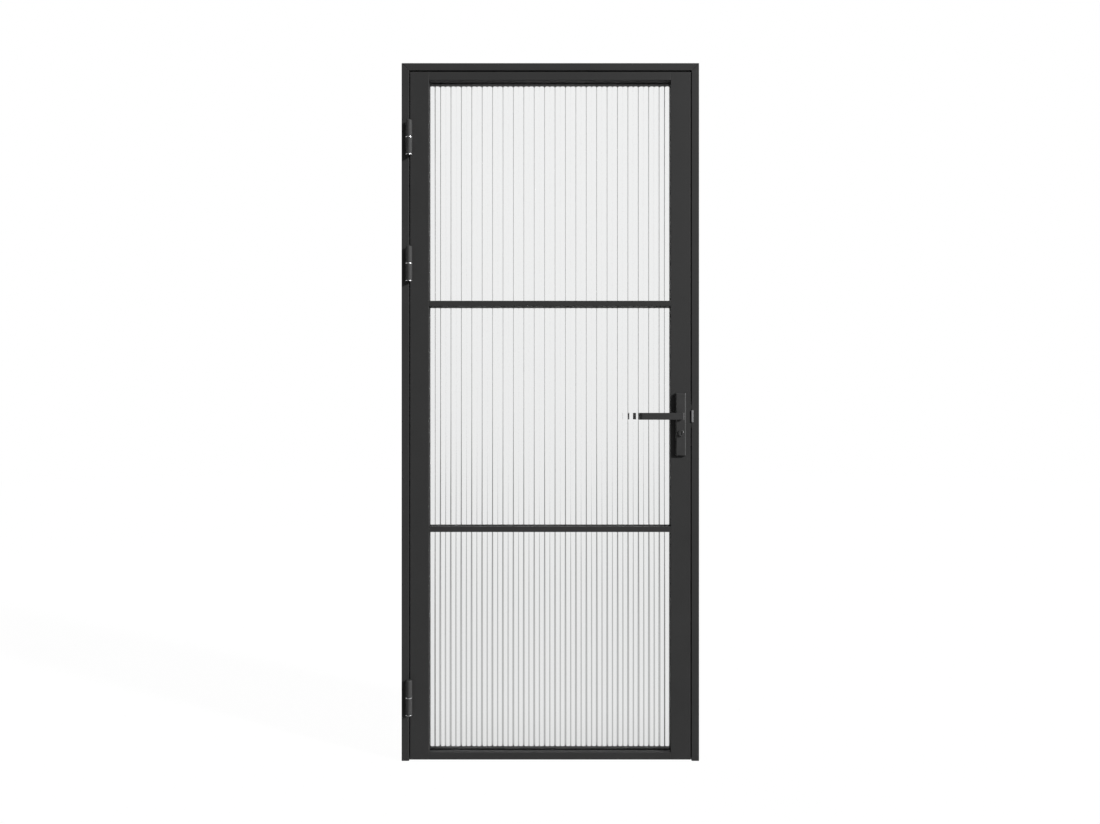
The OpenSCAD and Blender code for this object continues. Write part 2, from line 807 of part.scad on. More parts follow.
// Cover of the pane's edge and depth of its rebate, at the bottom and at the top of the pane i
function bite_z(i) = [i == 0 ? glass_bite : bar_bite, i == pane_n - 1 ? glass_bite : bar_bite];
function rebate_z(i) = [i == 0 ? rebate : bar_rebate, i == pane_n - 1 ? rebate : bar_rebate];
function grow(span, low, high) = [span[0] - low, span[1] + high];
function glass_z(i) = grow(pane_z(i), bite_z(i)[0], bite_z(i)[1]);

// Middle of the flute i, which sits towards the other flute of its pair
function flute_x(i) = open_x0 + (i + 0.5) * flute_p + (i % 2 == 0 ? pair_shift : -pair_shift);

// Flat back and a row of round flutes in pairs on the front, deep valleys on the sight lines
module pane_profile() {
  width = pane_x[1] - pane_x[0];
  translate([pane_x[0], root_y]) square([width, glass_back_y - root_y]);
  intersection() {
    translate([pane_x[0], crest_y - cut]) square([width, root_y - crest_y + 2 * cut]);
    union() {
      for (i = [-1 : flute_n])
        translate([flute_x(i), crest_y + flute_r]) circle(r = flute_r, $fn = flute_facets);
    }
  }
}

module pane(i) {
  z = glass_z(i);
  color(glass_tint)
    translate([0, 0, z[0]])
      linear_extrude(height = z[1] - z[0]) pane_profile();
}

// Flat gasket ring around a pane between two Y planes
module gasket_ring(i, y) {
  low = bite_z(i)[0] - gasket_edge;
  high = bite_z(i)[1] - gasket_edge;
  side = glass_bite - gasket_edge;
  difference() {
    block(grow([open_x0, open_x1], side, side), y, grow(pane_z(i), low, high));
    block(grow([open_x0, open_x1], gasket_inset, gasket_inset), [y[0] - cut, y[1] + cut],
      grow(pane_z(i), gasket_inset, gasket_inset));
  }
}

module gaskets(i) {
  color(rubber_black) {
    gasket_ring(i, [leg_y, crest_y - run_clear]);
    gasket_ring(i, [glass_back_y, bead_y]);
  }
}

// Hollow bead along X
module bead_x(z) {
  difference() {
    block([rebate_x0, rebate_x1], [bead_y, back_y], z);
    block([rebate_x0 - cut, rebate_x1 + cut], [bead_y + bead_wall, back_y - bead_wall],
      [z[0] + bead_wall, z[1] - bead_wall]);
  }
}

// Hollow bead along Z
module bead_z(x, z) {
  difference() {
    block(x, [bead_y, back_y], z);
    block([x[0] + bead_wall, x[1] - bead_wall], [bead_y + bead_wall, back_y - bead_wall],
      [z[0] - cut, z[1] + cut]);
  }
}

// Four snap-in beads behind a pane
module beads(i) {
  z = pane_z(i);
  color(black) {
    bead_x([z[0] - rebate_z(i)[0], z[0]]);
    bead_x([z[1], z[1] + rebate_z(i)[1]]);
    bead_z([rebate_x0, open_x0], z);
    bead_z([open_x1, rebate_x1], z);
  }
}

// Two blocks under the lower edge of each pane
module setting_blocks() {
  quarter = open_w / 4;
  centre = middle([open_x0, open_x1]);
  color(rubber_black)
    for (i = [0 : pane_n - 1], s = [-1, 1])
      block(around(centre + s * quarter, block_l / 2), [crest_y + gasket_inset, glass_back_y],
        [pane_z(i)[0] - rebate_z(i)[0], glass_z(i)[0]]);
}

// Both screws that hold the forend, heads at x
module forend_screw_set(x, c) {
  for (z = [forend_z[0] + forend_past / 2, forend_z[1] - forend_past / 2])
    screw_x(x, -1, 0, z, c);
}

// Forend let into the leaf's edge, with a raised guard above and below the latch
module lock_forend() {
  color(black)
    difference() {
      union() {
        block([forend_x, leaf_x1], [-forend_w / 2, forend_w / 2], forend_z);
        for (s = [-1, 1])
          block([leaf_x1, leaf_x1 + guard_t], [front_y, front_y + guard_d],
            [lever_z + s * guard_gap / 2, lever_z + s * guard_h / 2]);
      }
      block([forend_x - cut, leaf_x1 + cut], around(0, latch_t / 2 + move_clear),
        around(lever_z, latch_h / 2 + move_clear));
      block([forend_x - cut, leaf_x1 + cut], around(0, bolt_t / 2 + move_clear),
        around(turn_z, bolt_h / 2 + move_clear));
      forend_screw_set(leaf_x1, fit_clear);
    }
}

module forend_screws() {
  color(zinc_grey) forend_screw_set(leaf_x1 - fit_clear, 0);
}

// Case open towards the forend, with bearings for follower and cam
module lock_case() {
  hub = hub_d / 2 + run_clear;
  cam_hub = stem_d / 2 + run_clear;
  through = [-case_t / 2 - cut, case_t / 2 + cut];
  color(zinc_grey)
    difference() {
      block([case_x0, forend_x], [-case_t / 2, case_t / 2], case_z);
      block([case_x0 + case_wall, forend_x + cut], [-case_in, case_in],
        [case_z[0] + case_wall, case_z[1] - case_wall]);
      rod_y(hub, hub, through, axle_x, lever_z);
      rod_y(cam_hub, cam_hub, through, axle_x, turn_z);
    }
}

// Disc with a bearing on both sides and a square hole
module hub(r, bearing_r, square_w, z) {
  half = square_w / 2 + run_clear;
  difference() {
    union() {
      rod_y(r, r, [move_clear - case_in, case_in - move_clear], axle_x, z);
      rod_y(bearing_r, bearing_r, [-case_t / 2, case_t / 2], axle_x, z);
    }
    block(around(axle_x, half), [-case_t, case_t], around(z, half));
  }
}

module lock_follower() {
  color(zinc_grey) hub(follower_d / 2, hub_d / 2, spindle_w, lever_z);
}

module turn_cam() {
  color(zinc_grey) hub(cam_d / 2, stem_d / 2, turn_spindle_w, turn_z);
}

// Bevelled latch with two tail arms that pass above and below the follower
module latch_bolt() {
  tail_x = case_x0 + case_wall + latch_travel + move_clear;
  inner = follower_d / 2 + pass_clear;
  bevel_x = latch_x1 - latch_out + move_clear;
  color(bright_steel) {
    translate([0, 0, lever_z - latch_h / 2])
      linear_extrude(height = latch_h)
        polygon([[latch_x0, -latch_t / 2], [latch_x1, -latch_t / 2], [latch_x1, latch_tip - latch_t / 2],
          [bevel_x, latch_t / 2], [latch_x0, latch_t / 2]]);
    for (s = [-1, 1])
      block([tail_x, latch_x0 + cut], around(0, tail_t / 2),
        [lever_z + s * inner, lever_z + s * (inner + tail_h)]);
  }
}

module dead_bolt() {
  color(bright_steel)
    block(bolt_x, [-bolt_t / 2, bolt_t / 2], around(turn_z, bolt_h / 2));
}

// Bevelled edge of a plate on the side s of the leaf, along Z at x, outward direction d
module bevel_z(s, x, d) {
  face = s * plate_y;
  reach = plate_bevel + cut;
  translate([0, 0, plate_z[0] - cut])
    linear_extrude(height = plate_h + 2 * cut)
      polygon([[x + d * cut, face - s * reach], [x + d * cut, face + s * cut],
        [x - d * reach, face + s * cut]]);
}

// Bevelled edge of a plate on the side s of the leaf, along X at z, outward direction d
module bevel_x(s, z, d) {
  face = s * plate_y;
  reach = plate_bevel + cut;
  translate([plate_x[1] + cut, 0, 0])
    rotate([0, -90, 0])
      linear_extrude(height = plate_w + 2 * cut)
        polygon([[z + d * cut, face - s * reach], [z + d * cut, face + s * cut],
          [z - d * reach, face + s * cut]]);
}

// Hollow bevelled plate with bosses for lever, turn and bolts, on the side s of the leaf
module plate_body(s) {
  shell = s * [back_y - cut, plate_in];
  post = s * [back_y, plate_y - plate_wall / 2];
  difference() {
    union() {
      difference() {
        block(plate_x, s * [back_y, plate_y], plate_z);
        block(grow(plate_x, -plate_bevel, -plate_bevel), shell, grow(plate_z, -plate_bevel, -plate_bevel));
        bevel_z(s, plate_x[0], -1);
        bevel_z(s, plate_x[1], 1);
        bevel_x(s, plate_z[0], -1);
        bevel_x(s, plate_z[1], 1);
      }
      rod_y(collar_d / 2 + plate_wall, collar_d / 2 + plate_wall, post, axle_x, lever_z);
      rod_y(stem_d / 2 + plate_wall, stem_d / 2 + plate_wall, post, axle_x, turn_z);
      for (z = bolt_z)
        rod_y(plate_bolt_d, plate_bolt_d, post, axle_x, z);
    }
    for (r = [[collar_d / 2, lever_z], [stem_d / 2, turn_z]])
      rod_y(r[0] + run_clear, r[0] + run_clear, s * [back_y - cut, plate_y + cut], axle_x, r[1]);
  }
}

module front_handle_plate() {
  bore = plate_bolt_d / 2 + run_clear;
  color(satin_black)
    difference() {
      plate_body(-1);
      for (z = bolt_z)
        rod_y(bore, bore, -[back_y - cut, plate_in], axle_x, z);
    }
}

// The bolts pass the back plate, so its face has their countersinks
module back_handle_plate() {
  color(satin_black)
    difference() {
      plate_body(1);
      plate_bolt_set(fit_clear);
    }
}

// Countersunk bolts from the back plate into the front plate, larger by c
module plate_bolt_set(c) {
  r = plate_bolt_d / 2 + c;
  head = plate_y - fit_clear + c;
  for (z = bolt_z) {
    rod_y(plate_bolt_d + c, r, [head, head - bolt_head_h], axle_x, z);
    rod_y(r, r, [head - bolt_head_h + c, fit_clear - plate_in], axle_x, z);
  }
}

module plate_bolts() {
  color(zinc_grey) plate_bolt_set(0);
}

// Flat bar bent twice: neck, grip and returned end, in plan on the front side
module lever_plan() {
  tip_in = tip_x + lever_t;
  neck_in = neck_x - lever_t;
  grip_in = lever_t - grip_y;
  return_y = lever_return - grip_y;
  difference() {
    union() {
      translate([tip_x, bend_r - grip_y]) square([neck_x - tip_x, grip_y - neck_y - bend_r]);
      translate([tip_x + bend_r, -grip_y]) square([neck_x - tip_x - bend_r - neck_r, grip_y - neck_y]);
      translate([neck_x - neck_r, neck_r - grip_y]) square([neck_r, bend_r]);
      translate([tip_x + bend_r, bend_r - grip_y]) circle(r = bend_r);
      translate([neck_x - neck_r, neck_r - grip_y]) circle(r = neck_r);
    }
    translate([tip_in, grip_in + bend_in]) square([neck_in - tip_in, grip_y]);
    translate([tip_in + bend_in, grip_in]) square([neck_in - tip_in - 2 * bend_in, grip_y]);
    for (x = [tip_in + bend_in, neck_in - bend_in])
      translate([x, grip_in + bend_in]) circle(r = bend_in);
    translate([tip_x - cut, return_y]) square([lever_t + 2 * cut, grip_y]);
  }
}

// Lever on the side s of the leaf, with a collar that turns in the plate
module lever(s) {
  half = spindle_w / 2 + run_clear;
  color(satin_black)
    difference() {
      union() {
        translate([0, 0, lever_z - lever_h / 2])
          linear_extrude(height = lever_h)
            scale([1, -s]) lever_plan();
        rod_y(collar_d / 2, collar_d / 2, s * [back_y + pass_clear, plate_y + collar_out], axle_x, lever_z);
      }
      block(around(axle_x, half), s * [back_y, plate_y - pass_clear], around(lever_z, half));
    }
}

module front_lever() {
  lever(-1);
}

module back_lever() {
  lever(1);
}

module lever_spindle() {
  half = spindle_w / 2;
  color(zinc_grey)
    block(around(axle_x, half), [-spindle_end, spindle_end], around(lever_z, half));
}

// Disc and stem of a turn on the side s of the leaf, with a square hole from inside
module turn_body(s) {
  half = turn_spindle_w / 2 + run_clear;
  face = plate_y + move_clear;
  difference() {
    union() {
      rod_y(turn_d / 2, turn_d / 2, s * [face, face + turn_t], axle_x, turn_z);
      rod_y(stem_d / 2, stem_d / 2, s * [back_y + pass_clear, face + turn_t / 2], axle_x, turn_z);
    }
    block(around(axle_x, half), s * [back_y, plate_y - pass_clear], around(turn_z, half));
  }
}

// Thumb turn with an upright grip, on the back
module thumb_turn() {
  face = plate_y + move_clear + turn_t;
  tall = turn_d / 2 - move_clear;
  color(satin_black) {
    turn_body(1);
    block(around(axle_x, grip_w / 2), [face - turn_t / 2, face + grip_out], around(turn_z, tall));
  }
}

// Release with a coin slot, on the front
module release_disc() {
  face = plate_y + move_clear + turn_t;
  color(satin_black)
    difference() {
      turn_body(-1);
      block(around(axle_x, coin_w / 2), -[face - coin_d, face + cut],
        around(turn_z, stem_d / 2));
    }
}

module turn_spindle() {
  half = turn_spindle_w / 2;
  color(zinc_grey)
    block(around(axle_x, half), [-turn_back, turn_back], around(turn_z, half));
}

hinge_jamb();
strike_jamb();
frame_head();
corner_keys();
hinge_jamb_seal();
strike_jamb_seal();
head_seal();
strike_plate();
strike_box();
strike_screws();
frame_half(hinge_z[0]);  // low_hinge_frame_half
frame_half(hinge_z[1]);  // middle_hinge_frame_half
frame_half(hinge_z[2]);  // top_hinge_frame_half
leaf_half(hinge_z[0]);  // low_hinge_leaf_half
leaf_half(hinge_z[1]);  // middle_hinge_leaf_half
leaf_half(hinge_z[2]);  // top_hinge_leaf_half
pin(hinge_z[0]);  // low_hinge_pin
pin(hinge_z[1]);  // middle_hinge_pin
pin(hinge_z[2]);  // top_hinge_pin
washer(hinge_z[0]);  // low_hinge_washer
washer(hinge_z[1]);  // middle_hinge_washer
washer(hinge_z[2]);  // top_hinge_washer
hinge_frame_screws();
hinge_leaf_screws();
hinge_stile();
lock_stile();
top_rail();
bottom_rail();
upper_bar();
lower_bar();
rail_cleats();
stile_caps();
bottom_seal();
setting_blocks();
pane(0);  // bottom_pane
pane(1);  // middle_pane
pane(2);  // top_pane
gaskets(0);  // bottom_gaskets
gaskets(1);  // middle_gaskets
gaskets(2);  // top_gaskets
beads(0);  // bottom_beads
beads(1);  // middle_beads
beads(2);  // top_beads
lock_forend();
lock_case();
forend_screws();
latch_bolt();
dead_bolt();
lock_follower();
turn_cam();
front_handle_plate();
back_handle_plate();
plate_bolts();
front_lever();
back_lever();
lever_spindle();
thumb_turn();
release_disc();
turn_spindle();
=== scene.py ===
import json
import math

import bmesh
import bpy
from bpy.props import FloatProperty, FloatVectorProperty, IntProperty, PointerProperty
from bpy.types import Operator, Panel, PropertyGroup
from mathutils import Matrix, Vector


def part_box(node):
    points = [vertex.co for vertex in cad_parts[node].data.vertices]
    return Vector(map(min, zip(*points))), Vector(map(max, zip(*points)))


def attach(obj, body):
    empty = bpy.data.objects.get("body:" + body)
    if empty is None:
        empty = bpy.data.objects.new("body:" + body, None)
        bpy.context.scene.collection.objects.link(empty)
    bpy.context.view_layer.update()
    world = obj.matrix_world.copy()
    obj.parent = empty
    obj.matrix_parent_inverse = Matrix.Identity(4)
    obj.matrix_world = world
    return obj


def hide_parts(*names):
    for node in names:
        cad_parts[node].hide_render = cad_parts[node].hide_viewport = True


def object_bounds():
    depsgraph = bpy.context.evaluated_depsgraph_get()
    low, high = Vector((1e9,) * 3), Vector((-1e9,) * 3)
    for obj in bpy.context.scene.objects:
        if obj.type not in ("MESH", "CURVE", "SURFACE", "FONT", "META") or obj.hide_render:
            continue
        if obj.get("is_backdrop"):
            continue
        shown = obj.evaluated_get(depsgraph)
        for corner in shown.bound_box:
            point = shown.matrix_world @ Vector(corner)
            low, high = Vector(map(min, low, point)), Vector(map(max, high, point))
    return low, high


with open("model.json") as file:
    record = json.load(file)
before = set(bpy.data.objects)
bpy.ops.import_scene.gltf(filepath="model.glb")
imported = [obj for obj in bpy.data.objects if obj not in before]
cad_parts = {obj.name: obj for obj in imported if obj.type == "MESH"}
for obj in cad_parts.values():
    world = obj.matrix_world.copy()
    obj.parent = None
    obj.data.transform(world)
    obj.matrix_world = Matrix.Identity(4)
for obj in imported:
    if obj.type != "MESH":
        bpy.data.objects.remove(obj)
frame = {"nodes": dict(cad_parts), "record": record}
CAD_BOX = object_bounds()

bl_info = {
    "name": "Fluted glass door",
    "version": (1, 0, 0),
    "blender": (4, 5, 0),
    "location": "View3D > Sidebar > Door",
    "description": "Dresses a black framed door with fluted glass panes, hinges and a lever lock",
    "category": "Object",
}

RECORD = frame["record"]
BODY_OF = {node: body for body, nodes in RECORD["behaviour"]["bodies"].items() for node in nodes}
SLOT_OF = {part["node"]: part["material_slot"] for part in RECORD["subparts"]}

# Points closer than this are one
WELD = 2e-6
# Triangles that meet at less than this angle are one face
FLAT = math.radians(0.3)
# Outer edges that turn by more than this are rounded
SHARP = math.radians(20)
# Shading runs on over edges that turn by less than this
SMOOTH = math.radians(32)
# Faces across a rounded edge
ROUND_STEPS = 3
# Edges around the holes in the profiles are shorter than this, and stay sharp
HOLE_EDGE = 0.002
# Sides of the socket in a screw's head
SOCKET_SIDES = 6

FRAME_PROFILES = ("hinge_jamb", "strike_jamb", "frame_head")
FRAME_SEALS = ("hinge_jamb_seal", "strike_jamb_seal", "head_seal")
LEAF_PROFILES = ("hinge_stile", "lock_stile", "top_rail", "bottom_rail", "upper_bar", "lower_bar")
LEAF_FITTINGS = ("rail_cleats", "stile_caps", "setting_blocks")
PANES = ("bottom_pane", "middle_pane", "top_pane")
GASKETS = ("bottom_gaskets", "middle_gaskets", "top_gaskets")
BEADS = ("bottom_beads", "middle_beads", "top_beads")
HINGES = ("low_hinge", "middle_hinge", "top_hinge")
HANDLES = ("front_handle_plate", "back_handle_plate", "front_lever", "back_lever", "thumb_turn",
           "release_disc")
LOCK_FACES = ("lock_forend", "strike_plate", "latch_bolt", "dead_bolt")
LOCK_INSIDES = ("lock_case", "lock_follower", "turn_cam", "lever_spindle", "turn_spindle", "strike_box")
# Groups of screws, with the direction from head to tip
SCREWS = {
    "hinge_frame_screws": (-1, 0, 0),
    "hinge_leaf_screws": (1, 0, 0),
    "strike_screws": (1, 0, 0),
    "forend_screws": (-1, 0, 0),
    "plate_bolts": (0, -1, 0),
}

# A noise value lies mostly between these two
NOISE_RANGE = (0.3, 0.7)

# Studio by view direction: each ramp has the two places that it lies between, and its two values. A value is
# a light, of which 1 is white, the share of the dark sides, or how much wider they are low down.
BACKDROP_RISE = ((-0.42, 0.42), (0.845, 0.92))
# Painted shadow: the backdrop runs darker at its foot and stands in for the door's shadow on the floor
# behind, as seen through the glass
BACKDROP_PAINTED_FLOOR_SHADOW = ((-0.385, -0.335), (0.95, 1))
DARK_SIDES_BEGIN = ((0.58, 0.7), (0, 1))
DARK_SIDES_END = ((0.84, 0.92), (1, 0))
LOW_SIDES_WIDER = ((-0.3, 0.04), (0.26, 0))
LOW_SIDES_LIGHT = ((-0.3, 0), (0.56, 0.04))
HIGH_SIDES_LIGHT = ((0, 0.3), (0, 0.12))
ROOM_FRONT_TO_BACK = ((-0.4, 0.4), (0.14, 1))

# The floor's own grey and roughness, the white that the camera sees and its share, the depth under the door
# and the sides of the round sheet
FLOOR_GREY = 0.5
FLOOR_ROUGH = 0.9
FLOOR_WHITE = 1.03
FLOOR_WHITE_SHARE = 0.95
FLOOR_DROP = 0.0004
FLOOR_SIDES = 64


def millimetres(name, description, value):
    """A length property whose default is given in millimetres."""
    return FloatProperty(name=name, description=description, default=value / 1000, min=0,
                         precision=5, subtype="DISTANCE", unit="LENGTH")


def share(name, description, value):
    """A property between 0 and 1."""
    return FloatProperty(name=name, description=description, default=value, min=0, max=1, subtype="FACTOR")


def colour(name, description, value):
    """A colour property."""
    return FloatVectorProperty(name=name, description=description, default=value, min=0, max=1,
                               subtype="COLOR")


class DoorEdges(PropertyGroup):
    """Rounding of the edges of each kind of piece."""
    frame_round: millimetres("Frame edges", "Rounding of the frame profiles' edges", 1.2)
    leaf_round: millimetres("Leaf edges", "Rounding of the leaf profiles' edges", 0.9)
    bead_round: millimetres("Bead edges", "Rounding of the glazing beads' edges", 0.6)
    rubber_round: millimetres("Rubber edges", "Rounding of seals and gaskets", 0.5)
    hinge_round: millimetres("Hinge edges", "Rounding of the hinge halves' edges", 0.35)
    handle_round: millimetres("Handle edges", "Rounding of plates, levers and turns", 0.7)
    steel_round: millimetres("Steel edges", "Rounding of the lock's and hinges' steel", 0.3)


class DoorGlass(PropertyGroup):
    """Shape of the fluted panes."""
    pairs: IntProperty(name="Pairs", description="Pairs of flutes across the sight opening", default=23,
                       min=2)
    depth: millimetres("Flute depth", "Depth of the valleys between two pairs of flutes", 5.5)
    pair_shift: millimetres("Pair shift", "How far each flute of a pair sits towards the other", 0.5)
    arc_steps: IntProperty(name="Arc steps", description="Faces across one flute", default=28, min=6)


class DoorScrews(PropertyGroup):
    """Shape of the countersunk screws."""
    sides: IntProperty(name="Sides", description="Faces around a head", default=24, min=12)
    shank: share("Shank", "Shank diameter over head diameter", 0.5)
    socket: share("Socket", "Socket diameter over head diameter", 0.5)
    socket_depth: share("Socket depth", "Depth of the socket over the head's radius", 0.5)


class DoorFinish(PropertyGroup):
    """Colours and gloss of the finishes."""
    coat: colour("Coat", "Black powder coat of frame and leaf", (0.026, 0.026, 0.026))
    coat_rough: share("Coat roughness", "Roughness of the powder coat", 0.6)
    coat_shine: share("Coat shine", "Specular level of the powder coat", 0.25)
    hinge: colour("Hinge black", "Black of the hinges", (0.042, 0.042, 0.042))
    hinge_rough: share("Hinge roughness", "Roughness of the hinges", 0.6)
    hinge_shine: share("Hinge shine", "Specular level of the hinges", 0.12)
    handle: colour("Handle black", "Black of plates, levers and turns", (0.021, 0.021, 0.021))
    handle_rough: share("Handle roughness", "Roughness of plates, levers and turns", 0.38)
    handle_shine: share("Handle shine", "Specular level of plates, levers and turns", 1.0)
    steel: colour("Bright steel", "Polished steel of washers, pin feet and strike", (0.72, 0.72, 0.73))
    steel_rough: share("Steel roughness", "Roughness of the polished steel", 0.375)
    zinc: colour("Zinc plate", "Zinc plating of screws and lock", (0.5, 0.5, 0.51))
    zinc_rough: share("Zinc roughness", "Roughness of the zinc plating", 0.4)
    rubber: colour("Rubber", "Black rubber of seals and gaskets", (0.014, 0.014, 0.014))
    rubber_rough: share("Rubber roughness", "Roughness of the rubber", 0.75)
    plastic: colour("Plastic", "Black plastic of caps and blocks", (0.02, 0.02, 0.02))
    plastic_rough: share("Plastic roughness", "Roughness of the plastic", 0.5)
    glass: colour("Glass", "Tint of the fluted glass", (0.975, 0.98, 0.98))
    glass_rough: share("Glass roughness", "Roughness of the fluted glass", 0.02)
    glass_ior: FloatProperty(name="Glass index", description="Index of refraction", default=1.5, min=1, max=2)


class DoorStage(PropertyGroup):
    """Camera, lamps and floor."""
    distance: millimetres("Camera distance", "Distance of the camera in front of the leaf", 2400)
    camera_x: FloatProperty(name="Camera side", description="Sideways place of the camera", default=-0.001,
                            subtype="DISTANCE", unit="LENGTH")
    view_width: millimetres("View width", "Width of the view at the leaf's front", 3254)
    sensor: FloatProperty(name="Sensor", description="Width of the camera's sensor in mm", default=36, min=1)
    key_strength: FloatProperty(name="Key light", description="Strength of the light from the front right",
                                default=5.5, min=0)
    key_angle: FloatProperty(name="Key angle", description="Width of the light as seen from the door",
                             default=math.radians(4), min=0, subtype="ANGLE")
    key_from: FloatVectorProperty(name="Key from", description="Side that the light comes from",
                                  default=(1.8, -1, 0.95), subtype="DIRECTION")
    back_power: FloatProperty(name="Back lamp", description="Power of the lamp behind the door", default=30,
                              min=0, subtype="POWER")
    back_size: millimetres("Back size", "Width of the lamp behind the door", 2000)
    back_place: FloatVectorProperty(name="Back place", description="Place of the lamp behind the door",
                                    default=(-2.6, 3.4, 2.9), subtype="TRANSLATION", unit="LENGTH")
    ambient: share("Ambient", "Even light from all around", 0.2)
    floor_size: millimetres("Floor size", "Width of the floor", 24000)


def edges():
    return bpy.context.scene.door_edges


def finish_values():
    return bpy.context.scene.door_finish


# Finishes

def link(tree, source, target):
    tree.links.new(source, target)


def shader(name):
    """A new material with its principled shader, and its object coordinates."""
    material = bpy.data.materials.new(name)
    material.use_nodes = True
    tree = material.node_tree
    surface = tree.nodes["Principled BSDF"]
    place = tree.nodes.new("ShaderNodeTexCoord").outputs["Object"]
    return material, tree, surface, place


def stretched(tree, place, upright):
    """Coordinates that run faster or slower upright than across."""
    node = tree.nodes.new("ShaderNodeMapping")
    node.inputs["Scale"].default_value = (1, 1, upright)
    link(tree, place, node.inputs["Vector"])
    return node.outputs["Vector"]


def noise(tree, place, scale, detail, rough):
    node = tree.nodes.new("ShaderNodeTexNoise")
    node.inputs["Scale"].default_value = scale
    node.inputs["Detail"].default_value = detail
    node.inputs["Roughness"].default_value = rough
    link(tree, place, node.inputs["Vector"])
    return node.outputs["Fac"]


def spread(tree, value, low, high):
    """Maps a noise value to a range."""
    node = tree.nodes.new("ShaderNodeMapRange")
    node.inputs["From Min"].default_value = NOISE_RANGE[0]
    node.inputs["From Max"].default_value = NOISE_RANGE[1]
    node.inputs["To Min"].default_value = low
    node.inputs["To Max"].default_value = high
    link(tree, value, node.inputs["Value"])
    return node.outputs["Result"]


def tones(tree, value, base, change):
    """A colour that runs a little darker and lighter with a noise value."""
    node = tree.nodes.new("ShaderNodeMix")
    node.data_type = "RGBA"
    node.inputs["A"].default_value = [c * (1 - change) for c in base] + [1]
    node.inputs["B"].default_value = [min(1, c * (1 + change)) for c in base] + [1]
    link(tree, value, node.inputs["Factor"])
    return node.outputs["Result"]


def relief(tree, surface, height, strength, distance):
    """Bumps on a surface from a noise value."""
    node = tree.nodes.new("ShaderNodeBump")
    node.inputs["Strength"].default_value = strength
    node.inputs["Distance"].default_value = distance
    link(tree, height, node.inputs["Height"])
    link(tree, node.outputs["Normal"], surface.inputs["Normal"])


def coated(name, base, rough, grain, depth, change=0.07, shine=0.5):
    """Powder coat, satin lacquer, rubber or plastic: a fine grain with slight changes of tone and gloss."""
    gloss_change = 0.04
    material, tree, surface, place = shader(name)
    clouds = noise(tree, place, scale=7, detail=4, rough=0.6)
    skin = noise(tree, place, scale=grain, detail=3, rough=0.55)
    link(tree, tones(tree, clouds, base, change), surface.inputs["Base Color"])
    link(tree, spread(tree, clouds, rough - gloss_change, rough + gloss_change), surface.inputs["Roughness"])
    relief(tree, surface, skin, strength=0.25, distance=depth)
    surface.inputs["Specular IOR Level"].default_value = shine
    return material


def metal(name, base, rough, grain):
    """Steel with the fine marks of turning and polishing."""
    duller, brighter = 0.08, 0.06
    material, tree, surface, place = shader(name)
    surface.inputs["Metallic"].default_value = 1
    marks = noise(tree, stretched(tree, place, upright=14), scale=grain, detail=4, rough=0.6)
    clouds = noise(tree, place, scale=60, detail=3, rough=0.5)
    link(tree, tones(tree, clouds, base, change=0.08), surface.inputs["Base Color"])
    link(tree, spread(tree, marks, rough - brighter, rough + duller), surface.inputs["Roughness"])
    relief(tree, surface, marks, strength=0.15, distance=0.00004)
    return material


def rolled_glass(name, tint, rough, ior):
    """Clear rolled glass with the faint waves of rolling."""
    material, tree, surface, place = shader(name)
    surface.inputs["Transmission Weight"].default_value = 1
    surface.inputs["IOR"].default_value = ior
    waves = noise(tree, stretched(tree, place, upright=0.25), scale=24, detail=2, rough=0.5)
    link(tree, tones(tree, waves, tint, change=0.01), surface.inputs["Base Color"])
    link(tree, spread(tree, waves, rough / 2, rough), surface.inputs["Roughness"])
    relief(tree, surface, waves, strength=0.1, distance=0.0006)
    return material


def make_finish(slot):
    """A new material for a slot. Grains are per metre, and depths in metres."""
    values = finish_values()
    if slot in ("frame_black", "leaf_black"):
        return coated(slot, values.coat, values.coat_rough, grain=950, depth=0.00012, shine=values.coat_shine)
    if slot == "hinge_black":
        return coated(slot, values.hinge, values.hinge_rough, grain=1500, depth=0.00006,
                      shine=values.hinge_shine)
    if slot == "handle_black":
        return coated(slot, values.handle, values.handle_rough, grain=1500, depth=0.00006,
                      shine=values.handle_shine)
    if slot == "bright_steel":
        return metal(slot, values.steel, values.steel_rough, grain=400)
    if slot == "zinc_plated":
        return metal(slot, values.zinc, values.zinc_rough, grain=300)
    if slot == "black_rubber":
        return coated(slot, values.rubber, values.rubber_rough, grain=1300, depth=0.00015, change=0.12)
    if slot == "black_plastic":
        return coated(slot, values.plastic, values.plastic_rough, grain=800, depth=0.0001, change=0.1)
    if slot == "fluted_glass":
        return rolled_glass(slot, values.glass, values.glass_rough, values.glass_ior)
    raise ValueError(f"no finish is known for the slot {slot}")


def finish(slot):
    """The material of a slot, made when a piece first asks for it."""
    name = f"door_{slot}"
    if name not in bpy.data.materials:
        make_finish(slot).name = name
    return bpy.data.materials[name]


# Pieces

def place_piece(bm, node):
    """Makes the shape an object that stands for its CAD node, rides on its body and takes its finish."""
    mesh = bpy.data.meshes.new(f"{node}_shape")
    bm.to_mesh(mesh)
    bm.free()
    mesh.shade_smooth()
    mesh.set_sharp_from_angle(angle=SMOOTH)
    mesh.materials.append(finish(SLOT_OF[node]))
    piece = bpy.data.objects.new(f"{node}_shape", mesh)
    bpy.context.scene.collection.objects.link(piece)
    weights = piece.modifiers.new("flat_faces", "WEIGHTED_NORMAL")
    weights.keep_sharp = True
    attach(piece, BODY_OF[node])
    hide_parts(node)


def welded_copy(node):
    """The CAD node's own shape with its triangles welded into whole faces."""
    bm = bmesh.new()
    bm.from_mesh(frame["nodes"][node].data)
    bmesh.ops.remove_doubles(bm, verts=bm.verts, dist=WELD)
    bmesh.ops.dissolve_limit(bm, angle_limit=FLAT, verts=bm.verts, edges=bm.edges)
    return bm


def needs_rounding(edge, shortest):
    return edge.is_convex and edge.calc_face_angle() > SHARP and edge.calc_length() > shortest


